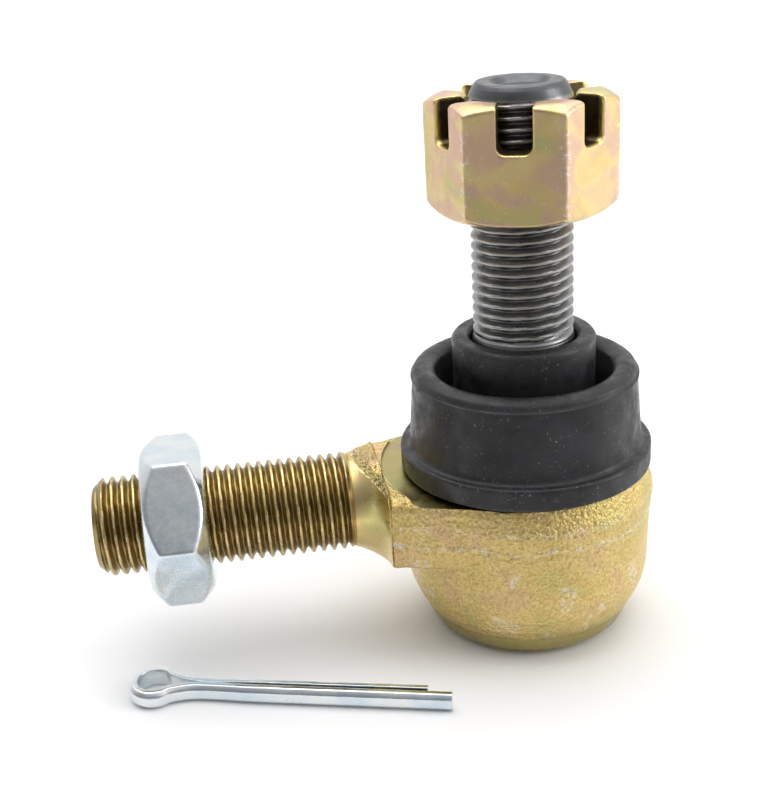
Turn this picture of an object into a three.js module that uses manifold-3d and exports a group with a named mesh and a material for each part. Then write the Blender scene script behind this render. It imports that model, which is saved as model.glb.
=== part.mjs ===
// A tie rod end: a ball joint whose forged housing carries a threaded shank, with a castle nut on
// the stud, a jam nut on the shank and a loose split pin.
// Millimetres. The origin is the centre of the housing's base, +Z runs up the housing's axis and
// the stud, and the shank runs along -X.

import * as THREE from "three";
import { mergeVertices } from "three/addons/utils/BufferGeometryUtils.js";
import Module from "manifold-3d";

// ---------------------------------------------------------------- driving dimensions

const GAP = 0.3; // clearance between pieces that touch
const ROUND = 48; // facets round the housing and its boot seat
const ROUND_SMALL = 36; // facets round everything else

const THREAD_RADIUS = 5.9; // M12 x 1.25, over the crests
const CHAMFER_SLOPE = Math.tan(THREE.MathUtils.degToRad(30)); // of the cone that trims a nut's corners
const FACE_INSET = 0.3; // a nut's end face is this much smaller than its flats

const HOUSING = {
  seatZ: 20.8, // the machined face under the boot
  seatRadius: 14.6,
  baseRadius: 10.3, // flat of the rolled lip
  rollRadius: 2.7, // outside of the rolled lip
  lipRadius: 9.0,
  lipThickness: 1.5,
  boreRadius: 11.7,
  roofZ: 18.2, // underside of the roof over the upper bearing seat
  mouthRadius: 8.0,
  spigotInner: 9.8, // raised ring that the boot presses onto
  spigotRadius: 11.4,
  spigotTop: 22.4,
  flankFoot: [13.9, 4.4], // the wall swells from the lip through these [radius, height] points
  flankLow: [14.7, 6.2],
  flankMiddle: [15.0, 8.0],
  wallRadius: 15.2,
  wallZ: 15.6,
  shoulderRadius: 15.5,
  shoulderZ: 18.2,
};

const WEB = {
  endX: -18.1, // where the forging ends and the turned neck begins
  halfWidth: 9.2,
  bottomZ: 12.6,
  topZ: 21.3,
  edge: 0.9, // chamfer along its long edges
  touchRadius: 14.6, // its sides run out tangent to this circle
  spotfaceRadius: 17.8, // room machined round the boot flange
};

// The forging's top climbs from the spotface to the neck, and its underside drops a little.
const NECK_BAR = { topX: -21.2, topZ: 23.5, bottomX: -21.5, bottomZ: 12.2, reach: 6 };

const SHANK = {
  axisZ: 17.8,
  endX: -52.4,
  endChamfer: 1.0,
  threadStartX: -21.8, // the thread stops here
  neckRadius: 5.6,
  flareRadius: 4.9, // the neck's fillet, a quarter circle that ends where the forging ends
  flareSteps: 6,
  rootX: -12.6, // buried end, inside the wall
};

const BALL = { radius: 8.6, centreZ: 12.6, flatDrop: 6.4 };

const STUD = {
  neckRadius: 4.5,
  neckTopZ: 23.6,
  bodyRadius: 6.0,
  bodyZ: 30.0,
  threadStartZ: 37.5,
  threadEndZ: 64.7,
  capRadius: 5.25,
  capZ: 66.1,
  endRadius: 4.9,
  endZ: 66.6,
  dishRadius: 3.3,
  dishFloor: 2.6,
  dishDepth: 0.8,
  pinHoleRadius: 1.6,
  pinHoleZ: 62.3,
};

const SEAT = { outerRadius: 11.4, sphereRadius: 8.9, upperReach: 4.6, lowerReach: 5.6, split: GAP / 2 };

const COVER = { dishRadius: 7.6, dishOuter: 8.6, rimRadius: 11.4, rimZ: 1.8, thickness: 1.6 };
const SPRING_SEAT = { inner: 7.4, outer: 11.3, low: 5.3, high: 6.2 };
const SPRING = { inner: 7.4, outer: 9.7, thickness: 0.5 };
const SEAL = { section: 0.7, facets: 8 };

const CASTLE_NUT = {
  flats: 19,
  bottomZ: 52.3,
  height: 13,
  slotFloor: 8, // from the seating face to the bottom of the slots
  slotWidth: 3.7,
  turn: -17.5, // degrees from +X to the nearest corner
};

const JAM_NUT = { flats: 18, leftX: -46.5, thickness: 7.5, turn: 4 }; // its corner on the -Y side is 4 degrees up

const SLOT_COUNT = 6;

const BOOT = {
  bottomZ: HOUSING.seatZ + GAP,
  flangeRadius: 15.2,
  flangeTopZ: 23.8,
  wallFoot: [14.1, 24.3], // the outer wall rises through these [radius, height] points
  wallMiddle: [13.6, 27.5],
  partingZ: 32.4,
  partingRadius: 13.4,
  rollMiddle: 11.85, // of the round top edge
  rollRadius: 1.4,
  pocketOuter: [10.0, 30.5], // the trough between the roll and the collar
  pocketLow: [9.8, 28.0],
  pocketFloor: [9.2, 27.4],
  collarRadius: 8.5,
  collarTopZ: 37.4,
  collarBore: 6.35,
  skirt: [[6.35, 29.0], [7.4, 26.2], [8.8, 25.4], [10.4, 25.6], [11.7, 24.9]], // the underside
};

const BASE_RING = { inner: 12.0, outer: 13.5, lowZ: 22.1, highZ: 22.9 };
const COLLAR_RING = { inner: 6.6, outer: 7.3, lowZ: 33.2, highZ: 35.6 };

const SPLIT_PIN = {
  wireRadius: 1.1, // each leg is half of this round section
  legGap: 0.13, // from the centre line to each leg's flat
  splay: 0.1, // each leg's tip stands this much further from the centre line
  longLeg: 31.6,
  shortLeg: 28.7,
  eyeRadius: 2.55, // of the wire's middle line
  eyeCentre: 3.6, // behind the start of the legs
  openAngle: 38, // the eye's circle stops this far from the legs, each side
  legStart: 0.9, // the legs are straight from here
  eyeX: -43.82, // start of the legs
  eyeY: -10.97,
  turn: -15.8, // degrees from +X to the legs
};

// ---------------------------------------------------------------- finishes

function finish(colour, roughness, metalness) {
  return new THREE.MeshStandardMaterial({ color: colour, roughness, metalness });
}

const FINISH = {
  goldForging: finish(0xb9a05c, 0.5, 0.8),
  goldNut: finish(0xc9b178, 0.35, 0.85),
  darkSteel: finish(0x6c6d6d, 0.38, 0.9),
  blueZinc: finish(0xc3ccd4, 0.25, 0.95),
  rubber: finish(0x17181b, 0.65, 0.0),
  bearingPlastic: finish(0xe6e2d6, 0.5, 0.0),
  springSteel: finish(0x55585c, 0.4, 0.9),
  platedSteel: finish(0xa89a63, 0.4, 0.85),
  sealRubber: finish(0x101010, 0.6, 0.0),
};

// ---------------------------------------------------------------- solids

const wasm = await Module();
wasm.setup();

function signedArea(points) {
  let sum = 0;
  points.forEach((p, i) => {
    const q = points[(i + 1) % points.length];
    sum += p[0] * q[1] - q[0] * p[1];
  });
  return sum / 2;
}

// A closed body of revolution about +Z from an outline of [radius, height] points.
// An outline that touches the axis starts and ends there, and any other closes on itself.
function turned(outline, segments = ROUND_SMALL) {
  const ring = signedArea(outline) > 0 ? outline : [...outline].reverse();
  const onAxis = ring.some(([radius]) => radius === 0);
  let ordered = ring;
  if (onAxis) {
    const last = ring.findIndex(([radius], i) => radius === 0 && ring[(i + 1) % ring.length][0] > 0);
    ordered = [...ring.slice(last), ...ring.slice(0, last)];
  } else {
    ordered = [...ring, ring[0]];
  }
  const points = ordered.map(([radius, height]) => new THREE.Vector2(radius, height));
  return new THREE.LatheGeometry(points, segments).rotateX(Math.PI / 2);
}

// The same, about an axis that runs along -X at the shank's height.
function turnedAlongShank(outline, segments = ROUND_SMALL) {
  return turned(outline, segments).rotateY(-Math.PI / 2).translate(0, 0, SHANK.axisZ);
}

function toSolid(geometry) {
  const bare = geometry.clone();
  bare.deleteAttribute("normal");
  bare.deleteAttribute("uv");
  const merged = mergeVertices(bare, 1e-4);
  const corners = [];
  for (let i = 0; i < merged.index.count; i += 3) {
    const [a, b, c] = [0, 1, 2].map((k) => merged.index.getX(i + k));
    if (a !== b && b !== c && c !== a) corners.push(a, b, c);
  }
  return new wasm.Manifold(
    new wasm.Mesh({
      numProp: 3,
      vertProperties: new Float32Array(merged.attributes.position.array),
      triVerts: new Uint32Array(corners),
    }),
  );
}

function toGeometry(solid) {
  const mesh = solid.getMesh();
  const geometry = new THREE.BufferGeometry();
  geometry.setAttribute("position", new THREE.BufferAttribute(new Float32Array(mesh.vertProperties), 3));
  geometry.setIndex(new THREE.BufferAttribute(new Uint32Array(mesh.triVerts), 1));
  const flat = geometry.toNonIndexed();
  flat.computeVertexNormals();
  return flat;
}

function arc(centreRadius, centreHeight, radius, fromDegrees, toDegrees, steps) {
  return Array.from({ length: steps + 1 }, (_, i) => {
    const angle = THREE.MathUtils.degToRad(fromDegrees + ((toDegrees - fromDegrees) * i) / steps);
    return [centreRadius + radius * Math.cos(angle), centreHeight + radius * Math.sin(angle)];
  });
}

function cylinder(radius, low, high, segments = ROUND_SMALL) {
  return turned([[0, low], [radius, low], [radius, high], [0, high]], segments);
}

// A hexagonal prism on +Z whose first corner is at the given angle.
function hexPrism(flats, low, high, firstCorner) {
  const radius = flats / Math.sqrt(3);
  const shape = new THREE.Shape(
    Array.from({ length: 6 }, (_, i) => {
      const angle = THREE.MathUtils.degToRad(firstCorner + 60 * i);
      return new THREE.Vector2(radius * Math.cos(angle), radius * Math.sin(angle));
    }),
  );
  const options = { depth: high - low, bevelEnabled: false };
  return new THREE.ExtrudeGeometry(shape, options).translate(0, 0, low);
}

// ---------------------------------------------------------------- housing

function barrel() {
  const h = HOUSING;
  return turned([
    [h.baseRadius, 0],
    ...arc(h.baseRadius, h.rollRadius, h.rollRadius, -60, 0, 3),
    h.flankFoot,
    h.flankLow,
    h.flankMiddle,
    [h.wallRadius, h.wallZ],
    [h.shoulderRadius, h.shoulderZ],
    [h.seatRadius, h.seatZ],
    [h.spigotRadius, h.seatZ],
    [h.spigotRadius, h.spigotTop],
    [h.spigotInner, h.spigotTop],
    [h.mouthRadius, h.roofZ],
    [h.boreRadius, h.roofZ],
    [h.boreRadius, h.lipThickness],
    [h.lipRadius, h.lipThickness],
    [h.lipRadius, 0],
  ], ROUND);
}

// A slab with its four long edges chamfered, whose plan is the hull of the barrel and the neck's end.
function web() {
  const w = WEB;
  const cornerAngle = Math.atan2(w.halfWidth, -w.endX);
  const touch = cornerAngle + Math.acos(w.touchRadius / Math.hypot(w.endX, w.halfWidth));
  const touchX = -w.touchRadius * Math.cos(touch);
  const touchY = w.touchRadius * Math.sin(touch);
  const plan = new THREE.Shape([
    new THREE.Vector2(touchX, -touchY),
    new THREE.Vector2(touchX, touchY),
    new THREE.Vector2(w.endX, w.halfWidth),
    new THREE.Vector2(w.endX, -w.halfWidth),
  ]);
  const slab = new THREE.ExtrudeGeometry(plan, {
    depth: w.topZ - w.bottomZ - 2 * w.edge,
    bevelEnabled: true,
    bevelThickness: w.edge,
    bevelSize: w.edge,
    bevelOffset: -w.edge,
    bevelSegments: 1,
  });
  return slab.translate(0, 0, w.bottomZ + w.edge);
}

// The thread and the turned neck, whose flare opens until it is square to the shank.
function shank() {
  const s = SHANK;
  const flareStart = -WEB.endX + s.flareRadius;
  const flare = arc(s.neckRadius + s.flareRadius, flareStart, s.flareRadius, -90, -180, s.flareSteps);
  return turnedAlongShank([
    [0, -s.rootX],
    [s.neckRadius + s.flareRadius, -s.rootX],
    ...flare.filter(([, along]) => along < -s.threadStartX),
    [s.neckRadius, -s.threadStartX],
    [THREAD_RADIUS, -s.threadStartX + 0.4],
    [THREAD_RADIUS, -s.endX - s.endChamfer],
    [THREAD_RADIUS - s.endChamfer, -s.endX],
    [0, -s.endX],
  ]);
}

// What the forging leaves of the flare, seen from the side, drawn out across the web.
function neckBar() {
  const w = WEB;
  const n = NECK_BAR;
  const clear = n.topX - 3;
  const side = new THREE.Shape([
    new THREE.Vector2(SHANK.endX - 1, n.bottomZ - n.reach),
    new THREE.Vector2(clear, n.bottomZ - n.reach),
    new THREE.Vector2(n.bottomX, n.bottomZ),
    new THREE.Vector2(w.endX, w.bottomZ),
    new THREE.Vector2(0, w.bottomZ),
    new THREE.Vector2(0, w.topZ),
    new THREE.Vector2(-w.spotfaceRadius, w.topZ),
    new THREE.Vector2(n.topX, n.topZ),
    new THREE.Vector2(clear, n.topZ + n.reach),
    new THREE.Vector2(SHANK.endX - 1, n.topZ + n.reach),
  ]);
  const bar = new THREE.ExtrudeGeometry(side, { depth: 2 * w.halfWidth, bevelEnabled: false });
  return bar.rotateX(Math.PI / 2).translate(0, w.halfWidth, 0);
}

// The space inside the barrel, which the web and the shank's root stop short of.
function inside(aboveAll) {
  const h = HOUSING;
  const margin = 0.5;
  return turned([
    [0, -1],
    [h.boreRadius + margin, -1],
    [h.boreRadius + margin, h.roofZ + 1],
    [h.spigotInner + margin, h.spigotTop],
    [h.spigotInner + margin, aboveAll],
    [0, aboveAll],
  ]);
}

function housing() {
  const aboveAll = NECK_BAR.topZ + NECK_BAR.reach + 1;
  const spotface = cylinder(WEB.spotfaceRadius, HOUSING.seatZ, aboveAll, ROUND);
  const shaft = toSolid(shank()).intersect(toSolid(neckBar()));
  const arm = toSolid(web()).add(shaft).subtract(toSolid(inside(aboveAll))).subtract(toSolid(spotface));
  return toGeometry(toSolid(barrel()).add(arm));
}

// ---------------------------------------------------------------- inside the housing

function flatRing({ inner, outer, lowZ, highZ }) {
  return turned([[inner, lowZ], [outer, lowZ], [outer, highZ], [inner, highZ]]);
}

function upperSeat() {
  const top = HOUSING.roofZ - GAP;
  const s = SEAT;
  const z = BALL.centreZ;
  const from = THREE.MathUtils.radToDeg(Math.asin(s.upperReach / s.sphereRadius));
  const mouth = s.sphereRadius * Math.cos(THREE.MathUtils.degToRad(from));
  return turned([
    [s.outerRadius, z + s.split],
    [s.outerRadius, top],
    [mouth + 0.4, top],
    ...arc(0, z, s.sphereRadius, from, 1, 6),
  ]);
}

function lowerSeat() {
  const s = SEAT;
  const z = BALL.centreZ;
  const to = -THREE.MathUtils.radToDeg(Math.asin(s.lowerReach / s.sphereRadius));
  return turned([
    [s.outerRadius, z - s.split],
    ...arc(0, z, s.sphereRadius, -1, to, 6),
    [s.sphereRadius * Math.cos(THREE.MathUtils.degToRad(to)), z - s.lowerReach - 0.5],
    [s.outerRadius, z - s.lowerReach - 0.5],
  ]);
}

function springSeat() {
  const { inner, outer, low, high } = SPRING_SEAT;
  return flatRing({ inner, outer, lowZ: low, highZ: high });
}

// A disc spring: a thin cone that bears on the cover plate outside and on its seat inside.
function preloadSpring() {
  const { inner, outer, thickness } = SPRING;
  const low = COVER.rimZ + COVER.thickness + GAP;
  const high = SPRING_SEAT.low - GAP;
  return turned([
    [outer, low],
    [outer, low + thickness],
    [inner, high],
    [inner, high - thickness],
  ]);
}

function coverPlate() {
  const c = COVER;
  const rimTop = c.rimZ + c.thickness;
  return turned([
    [0, 0],
    [c.dishRadius, 0],
    [c.dishOuter, c.rimZ],
    [c.rimRadius, c.rimZ],
    [c.rimRadius, rimTop],
    [c.dishOuter - 1, rimTop],
    [c.dishRadius - 1, c.thickness],
    [0, c.thickness],
  ]);
}

function coverSeal() {
  const { section, facets } = SEAL;
  const middleRadius = HOUSING.boreRadius - GAP - section;
  const middleZ = COVER.rimZ + COVER.thickness + GAP / 3 + section;
  return turned(arc(middleRadius, middleZ, section, 0, 360 - 360 / facets, facets - 1));
}

// ---------------------------------------------------------------- boot and its rings

function dustBoot() {
  const b = BOOT;
  const bore = HOUSING.spigotRadius + GAP;
  return turned([
    [bore, b.bottomZ],
    [b.flangeRadius, b.bottomZ],
    [b.flangeRadius, b.flangeTopZ],
    b.wallFoot,
    b.wallMiddle,
    [b.partingRadius, b.partingZ],
    ...arc(b.rollMiddle, b.partingZ, b.rollRadius, 10, 170, 5),
    b.pocketOuter,
    b.pocketLow,
    b.pocketFloor,
    [b.collarRadius, b.pocketFloor[1] + 1.0],
    [b.collarRadius, b.collarTopZ - 0.4],
    [b.collarRadius - 0.5, b.collarTopZ],
    [b.collarBore + 0.2, b.collarTopZ],
    [b.collarBore, b.collarTopZ - 0.3],
    [b.collarBore, COLLAR_RING.highZ + GAP],
    [COLLAR_RING.outer + GAP, COLLAR_RING.highZ + GAP],
    [COLLAR_RING.outer + GAP, COLLAR_RING.lowZ - GAP],
    [b.collarBore, COLLAR_RING.lowZ - GAP],
    ...b.skirt,
    [bore, BASE_RING.highZ + GAP],
    [BASE_RING.outer + GAP, BASE_RING.highZ + GAP],
    [BASE_RING.outer + GAP, BASE_RING.lowZ - GAP],
    [bore, BASE_RING.lowZ - GAP],
  ]);
}

// ---------------------------------------------------------------- ball stud

function ballStud() {
  const { radius, centreZ, flatDrop } = BALL;
  const s = STUD;
  const flatAngle = -THREE.MathUtils.radToDeg(Math.asin(flatDrop / radius));
  const neckAngle = THREE.MathUtils.radToDeg(Math.acos(s.neckRadius / radius));
  const body = turned([
    [0, centreZ - flatDrop],
    ...arc(0, centreZ, radius, flatAngle, neckAngle, 14),
    [s.neckRadius, s.neckTopZ],
    [s.bodyRadius, s.bodyZ],
    [s.bodyRadius, s.threadStartZ],
    [THREAD_RADIUS, s.threadStartZ + 0.1],
    [THREAD_RADIUS, s.threadEndZ],
    [s.capRadius, s.capZ],
    [s.endRadius, s.endZ],
    [s.dishRadius, s.endZ],
    [s.dishFloor, s.endZ - s.dishDepth],
    [0, s.endZ - s.dishDepth],
  ]);
  const hole = cylinder(s.pinHoleRadius, -10, 10, 16);
  hole.rotateY(Math.PI / 2);
  hole.rotateZ(THREE.MathUtils.degToRad(CASTLE_NUT.turn + 30));
  hole.translate(0, 0, s.pinHoleZ);
  return toGeometry(toSolid(body).subtract(toSolid(hole)));
}

// ---------------------------------------------------------------- nuts and split pin

// A hexagon with a plain bore, its corners cut back by a cone at both ends.
function chamferedHex(flats, low, high, firstCorner) {
  const corner = flats / Math.sqrt(3) + 0.1;
  const face = flats / 2 - FACE_INSET;
  const drop = (corner - face) * CHAMFER_SLOPE;
  const turning = toSolid(turned([
    [0, low],
    [face, low],
    [corner, low + drop],
    [corner, high - drop],
    [face, high],
    [0, high],
  ]));
  const bore = toSolid(cylinder(THREAD_RADIUS + GAP, low - 1, high + 1));
  return toSolid(hexPrism(flats, low, high, firstCorner)).intersect(turning).subtract(bore);
}

function castleNut() {
  const n = CASTLE_NUT;
  const top = n.bottomZ + n.height;
  let nut = chamferedHex(n.flats, n.bottomZ, top, n.turn);
  for (let i = 0; i < SLOT_COUNT / 2; i += 1) {
    const slot = new THREE.BoxGeometry(2 * n.flats, n.slotWidth, n.height - n.slotFloor + 1);
    slot.translate(0, 0, (n.bottomZ + n.slotFloor + top + 1) / 2);
    slot.rotateZ(THREE.MathUtils.degToRad(n.turn + 30 + 60 * i));
    nut = nut.subtract(toSolid(slot));
  }
  return toGeometry(nut);
}

function jamNut() {
  const j = JAM_NUT;
  const nut = toGeometry(chamferedHex(j.flats, -j.leftX - j.thickness, -j.leftX, 90 + j.turn));
  return nut.rotateY(-Math.PI / 2).translate(0, 0, SHANK.axisZ);
}

// Half-round wire bent into two legs and an eye, its flat side always on the inside of the bend.
function splitPin() {
  const p = SPLIT_PIN;
  const middle = p.legGap + p.wireRadius / 2;
  const eye = [];
  const eyeSteps = 14;
  for (let i = 0; i <= eyeSteps; i += 1) {
    const angle = THREE.MathUtils.degToRad(p.openAngle + ((360 - 2 * p.openAngle) * i) / eyeSteps);
    eye.push([-p.eyeCentre + p.eyeRadius * Math.cos(angle), p.eyeRadius * Math.sin(angle)]);
  }
  const legSteps = 4;
  const leg = (length, side) =>
    Array.from({ length: legSteps + 1 }, (_, i) => {
      const along = p.legStart + ((length - p.legStart) * i) / legSteps;
      return [along, side * (middle + (p.splay * along) / length)];
    });
  const route = [...leg(p.longLeg, -1).reverse(), ...eye.reverse(), ...leg(p.shortLeg, 1)];
  const curve = new THREE.CatmullRomCurve3(
    route.map(([along, across]) => new THREE.Vector3(along, across, 0)),
    false,
    "centripetal",
  );

  const outline = [];
  const sectionSteps = 6;
  for (let i = 0; i <= sectionSteps; i += 1) {
    const angle = (Math.PI * i) / sectionSteps;
    outline.push(new THREE.Vector2(p.wireRadius * Math.cos(angle), p.wireRadius * Math.sin(angle)));
  }
  const section = new THREE.Shape(
    outline.map((point) => new THREE.Vector2(point.x, point.y - p.wireRadius / 2)),
  );
  const pin = new THREE.ExtrudeGeometry(section, { extrudePath: curve, steps: 72, bevelEnabled: false });
  pin.rotateZ(THREE.MathUtils.degToRad(p.turn));
  return pin.translate(p.eyeX, p.eyeY, p.wireRadius);
}

// ---------------------------------------------------------------- assembly

const tieRodEnd = new THREE.Group();

function place(name, geometry, material) {
  const mesh = new THREE.Mesh(geometry, material);
  mesh.name = name;
  tieRodEnd.add(mesh);
}

place("housing", housing(), FINISH.goldForging);
place("upper_bearing_seat", upperSeat(), FINISH.bearingPlastic);
place("lower_bearing_seat", lowerSeat(), FINISH.bearingPlastic);
place("spring_seat", springSeat(), FINISH.springSteel);
place("preload_spring", preloadSpring(), FINISH.springSteel);
place("cover_plate", coverPlate(), FINISH.platedSteel);
place("cover_seal", coverSeal(), FINISH.sealRubber);
place("dust_boot", dustBoot(), FINISH.rubber);
place("boot_base_ring", flatRing(BASE_RING), FINISH.springSteel);
place("boot_collar_ring", flatRing(COLLAR_RING), FINISH.springSteel);
place("ball_stud", ballStud(), FINISH.darkSteel);
place("castle_nut", castleNut(), FINISH.goldNut);
place("jam_nut", jamNut(), FINISH.blueZinc);
place("split_pin", splitPin(), FINISH.blueZinc);

export default tieRodEnd;
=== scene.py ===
# The looks of a tie rod end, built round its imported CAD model. Lengths are millimetres until a mesh
# is made, and every mesh is in the row's frame: origin at the base, +Z up the stud, shank along -X.

import math

import bpy
import numpy as np
from mathutils import Matrix, Vector


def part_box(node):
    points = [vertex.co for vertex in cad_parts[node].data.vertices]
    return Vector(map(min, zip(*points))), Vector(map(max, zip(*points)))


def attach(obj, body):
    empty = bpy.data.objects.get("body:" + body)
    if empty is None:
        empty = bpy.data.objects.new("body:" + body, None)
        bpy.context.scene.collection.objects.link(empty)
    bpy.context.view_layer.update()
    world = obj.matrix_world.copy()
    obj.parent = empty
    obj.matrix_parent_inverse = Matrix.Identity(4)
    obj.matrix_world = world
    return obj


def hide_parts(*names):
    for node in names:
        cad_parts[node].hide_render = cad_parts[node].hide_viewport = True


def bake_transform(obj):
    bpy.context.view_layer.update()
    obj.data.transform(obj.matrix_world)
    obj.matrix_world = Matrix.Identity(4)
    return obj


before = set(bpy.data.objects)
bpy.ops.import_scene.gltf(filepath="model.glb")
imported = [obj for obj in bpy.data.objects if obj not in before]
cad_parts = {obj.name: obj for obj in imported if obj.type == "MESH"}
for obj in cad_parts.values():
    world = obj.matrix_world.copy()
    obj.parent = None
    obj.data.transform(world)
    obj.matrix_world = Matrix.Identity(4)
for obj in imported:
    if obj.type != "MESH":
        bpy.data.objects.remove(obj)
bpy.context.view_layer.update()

MM = 0.001
TAU = 2 * math.pi


def low(node):
    return [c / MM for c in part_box(node)[0]]


def high(node):
    return [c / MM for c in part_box(node)[1]]


# ---------------------------------------------------------------- dimensions

PITCH = 1.25
THREAD_RADIUS = 5.92
THREAD_DEPTH = 0.613 * PITCH
CREST_SEAM = 0.03  # depth of the seam that rolling leaves in a crest

SHANK_Z = 17.8
SHANK_END = low("housing")[0]
SEAT_Z = low("dust_boot")[2] - 0.3  # the machined face under the boot
SPOTFACE_RADIUS = 17.8
BORE_RADIUS = 11.7
SEAT_RADIUS = 11.4  # the pieces stacked in the bore
SOCKET_RADIUS = 8.9  # the seats' hollow round the ball
BALL_Z = 12.6
BALL_RADIUS = 8.6
STUD_TOP = high("ball_stud")[2]
COLLAR_TOP = high("dust_boot")[2]
CASTLE_LOW = low("castle_nut")[2]
CASTLE_HIGH = high("castle_nut")[2]
CASTLE_FLATS = 19.0
CASTLE_TURN = -17.5
SLOT_WIDTH = 3.8
SLOT_FLOOR = CASTLE_LOW + 7.9
PIN_HOLE_Z = 62.3
PIN_HOLE_RADIUS = 1.6
JAM_LOW = low("jam_nut")[0]
JAM_HIGH = high("jam_nut")[0]
JAM_FLATS = 18.0
JAM_TURN = 4.0
PIN_WIRE = high("split_pin")[2] / 2


# ---------------------------------------------------------------- numbers and noise

def smooth_min(a, b, k):
    h = np.clip(0.5 + 0.5 * (b - a) / k, 0, 1)
    return b * (1 - h) + a * h - k * h * (1 - h)


def smooth_max(a, b, k):
    return -smooth_min(-a, -b, k)


def smoothstep(edge0, edge1, x):
    t = np.clip((x - edge0) / (edge1 - edge0), 0, 1)
    return t * t * (3 - 2 * t)


RANDOM = np.random.default_rng(12)
SLOPES = RANDOM.normal(size=(256, 3))
SLOPES /= np.linalg.norm(SLOPES, axis=1)[:, None]
SHUFFLE = RANDOM.permutation(256)


def noise_at(points, size, seed=0.0, octaves=1):
    """Gradient noise of about -1 to 1 at each point, with features of about the given size in mm."""
    total = 0.0
    for octave in range(octaves):
        place = np.asarray(points, float) / size * 2**octave + seed * np.array([17.3, 5.1, 9.7]) + 31.7
        cell = np.floor(place).astype(int)
        local = place - cell
        fade = local**3 * (local * (local * 6 - 15) + 10)
        for corner in np.ndindex(2, 2, 2):
            x, y, z = np.moveaxis(cell + corner, -1, 0)
            slope = SLOPES[SHUFFLE[(SHUFFLE[(SHUFFLE[x & 255] + y) & 255] + z) & 255]]
            weight = np.prod(np.where(corner, fade, 1 - fade), -1)
            total = total + weight * ((local - corner) * slope).sum(-1) * 1.7 / 2**octave
    return total


# ---------------------------------------------------------------- outlines and meshes

def rounded(corners, closed=True, step=12.0):
    """Points of an outline of (r, z) corners, where a corner (r, z, radius) is rounded by an arc."""
    out = []
    count = len(corners)
    for i, corner in enumerate(corners):
        here = np.array(corner[:2], float)
        radius = corner[2] if len(corner) > 2 else 0
        if not radius or (not closed and i in (0, count - 1)):
            out.append(here)
            continue
        before = np.array(corners[i - 1][:2], float) - here
        after = np.array(corners[(i + 1) % count][:2], float) - here
        a = before / np.linalg.norm(before)
        b = after / np.linalg.norm(after)
        half = math.acos(np.clip(a @ b, -1, 1)) / 2
        reach = min(radius / math.tan(half), 0.49 * min(np.linalg.norm(before), np.linalg.norm(after)))
        true_radius = reach * math.tan(half)
        middle = (a + b) / np.linalg.norm(a + b)
        centre = here + middle * true_radius / math.sin(half)
        start = here + a * reach - centre
        end = here + b * reach - centre
        turn = math.pi - 2 * half
        sign = math.copysign(1, start[0] * end[1] - start[1] * end[0])
        steps = max(2, round(math.degrees(turn) / step))
        for k in range(steps + 1):
            angle = sign * turn * k / steps
            c, s = math.cos(angle), math.sin(angle)
            out.append(centre + np.array([c * start[0] - s * start[1], s * start[0] + c * start[1]]))
    return np.array(out)


def subdivided(points, longest, closed=True):
    """The same outline with no stretch longer than the given length."""
    out = []
    last = len(points) if closed else len(points) - 1
    for i in range(last):
        a, b = points[i], points[(i + 1) % len(points)]
        pieces = max(1, math.ceil(np.linalg.norm(b - a) / longest))
        out += [a + (b - a) * k / pieces for k in range(pieces)]
    if not closed:
        out.append(points[-1])
    return np.array(out)


def spun(points, count):
    """A grid of rows round +Z, one per [r, z] point."""
    angles = np.arange(count) * TAU / count
    r = points[:, 0][:, None]
    z = np.broadcast_to(points[:, 1][:, None], (len(points), count))
    return np.stack([r * np.cos(angles), r * np.sin(angles), z], -1)


def grid_faces(rows, columns, wrap_rows):
    """Quads of a grid that closes on itself along its columns, and along its rows if asked."""
    i = np.arange(rows if wrap_rows else rows - 1)[:, None]
    j = np.arange(columns)[None, :]
    nxt = (j + 1) % columns
    up = (i + 1) % rows
    quads = np.stack([i * columns + j, i * columns + nxt, up * columns + nxt, up * columns + j], -1)
    return quads.reshape(-1, 4)


def signed_volume(points, faces):
    fans = [(face[0], face[k], face[k + 1]) for face in faces for k in range(1, len(face) - 1)]
    a, b, c = points[np.array(fans).T]
    return np.einsum("ij,ij->", a, np.cross(b, c))


def make_piece(name, points, faces, materials, sharp=32.0, face_material=None, wear=None):
    """A smooth-shaded object from millimetre points, facing outwards."""
    faces = faces.tolist() if isinstance(faces, np.ndarray) else faces
    if signed_volume(points, faces) < 0:
        faces = [f[::-1] for f in faces]
    mesh = bpy.data.meshes.new(name)
    mesh.from_pydata((points * MM).tolist(), [], faces)
    for material in materials:
        mesh.materials.append(material)
    if face_material is not None:
        mesh.polygons.foreach_set("material_index", np.asarray(face_material, np.int32))
    if wear is not None:
        attribute = mesh.attributes.new("wear", "FLOAT", "POINT")
        attribute.data.foreach_set("value", np.asarray(wear, np.float32).ravel())
    mesh.validate()
    mesh.shade_smooth()
    mesh.set_sharp_from_angle(angle=math.radians(sharp))
    obj = bpy.data.objects.new(name, mesh)
    bpy.context.scene.collection.objects.link(obj)
    return obj


def grid_piece(name, grid, materials, **settings):
    """A piece from a grid that closes on itself both ways."""
    return make_piece(name, grid.reshape(-1, 3), grid_faces(*grid.shape[:2], True), materials, **settings)


def ring_piece(name, corners, material):
    """A closed ring of revolution from an outline of rounded corners."""
    return grid_piece(name, spun(rounded(corners), 128), [material])


def capped_grid(grid, start_tip=None, end_tip=None):
    """Points and faces of a grid closed by fans to a tip at its first and last rows."""
    rows, columns = grid.shape[:2]
    points = grid.reshape(-1, 3)
    faces = grid_faces(rows, columns, False).tolist()
    for tip, row in ((start_tip, 0), (end_tip, rows - 1)):
        if tip is None:
            continue
        points = np.vstack([points, tip])
        for j in range(columns):
            pair = [row * columns + j, row * columns + (j + 1) % columns]
            if row == 0:
                pair.reverse()
            faces.append([*pair, len(points) - 1])
    return points, faces


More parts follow.
